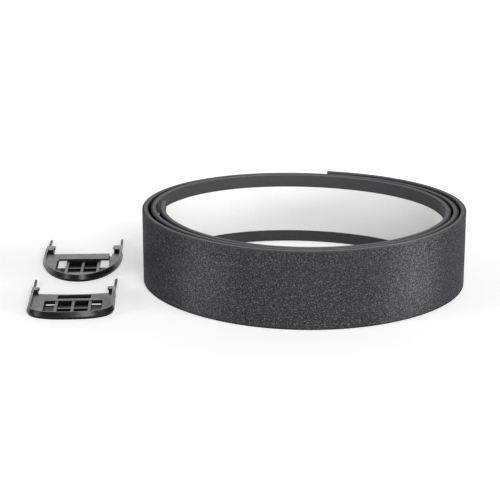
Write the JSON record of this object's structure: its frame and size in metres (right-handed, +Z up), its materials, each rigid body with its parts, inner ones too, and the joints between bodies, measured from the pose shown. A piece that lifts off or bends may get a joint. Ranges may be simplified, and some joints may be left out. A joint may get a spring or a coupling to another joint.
{
  "type": "grip tape roll",
  "caption": "Cushioned, adhesive-backed racket grip strip wound on edge into an open roll, with snap-armed plastic end clips lying beside it.",
  "frame": {"origin": "middle of the base of the whole kit's bounding box, on the surface it stands on", "axes": "+Z up along the roll's axis, +X from the clips towards the roll, +Y away from the side the clips' noses point to"},
  "size_m": [0.144, 0.1042, 0.025],
  "materials": {
    "grip_face": "speckled charcoal, fine non-slip grain",
    "cushion": "matte closed-cell foam",
    "adhesive": "tacky clear",
    "liner": "white silicone-coated paper",
    "clip": "satin black moulding"
  },
  "bodies": {
    "roll": {"cushion_backing": "cushion", "grip_face": "grip_face", "adhesive_strip": "adhesive", "release_liner": "liner"},
    "tape_tail": {"cushion_backing_tail": "cushion", "grip_face_tail": "grip_face", "adhesive_strip_tail": "adhesive", "release_liner_tail": "liner"},
    "liner_tab": {"release_liner_tab": "liner"},
    "round_clip": {"end_clip_round": "clip"},
    "square_clip": {"end_clip_square": "clip"}
  },
  "joints": [
    {"name": "tape_tail_peel", "type": "hinge", "parent": "roll", "child": "tape_tail", "pos_m": [0.06744, 0.02249, 0], "axis": [0, 0, -1], "range_deg": [0, 45], "stiffness_Nm_per_rad": 0.002},
    {"name": "liner_tab_peel", "type": "hinge", "parent": "roll", "child": "liner_tab", "pos_m": [-0.02709, -0.00321, 0], "axis": [0, 0, -1], "range_deg": [0, 70], "stiffness_Nm_per_rad": 0.0002},
    {"name": "round_clip_lift", "type": "slide", "parent": "roll", "child": "round_clip", "axis": [0, 0, 1], "range_m": [0, 0.05]},
    {"name": "square_clip_lift", "type": "slide", "parent": "roll", "child": "square_clip", "axis": [0, 0, 1], "range_m": [0, 0.05]}
  ]
}
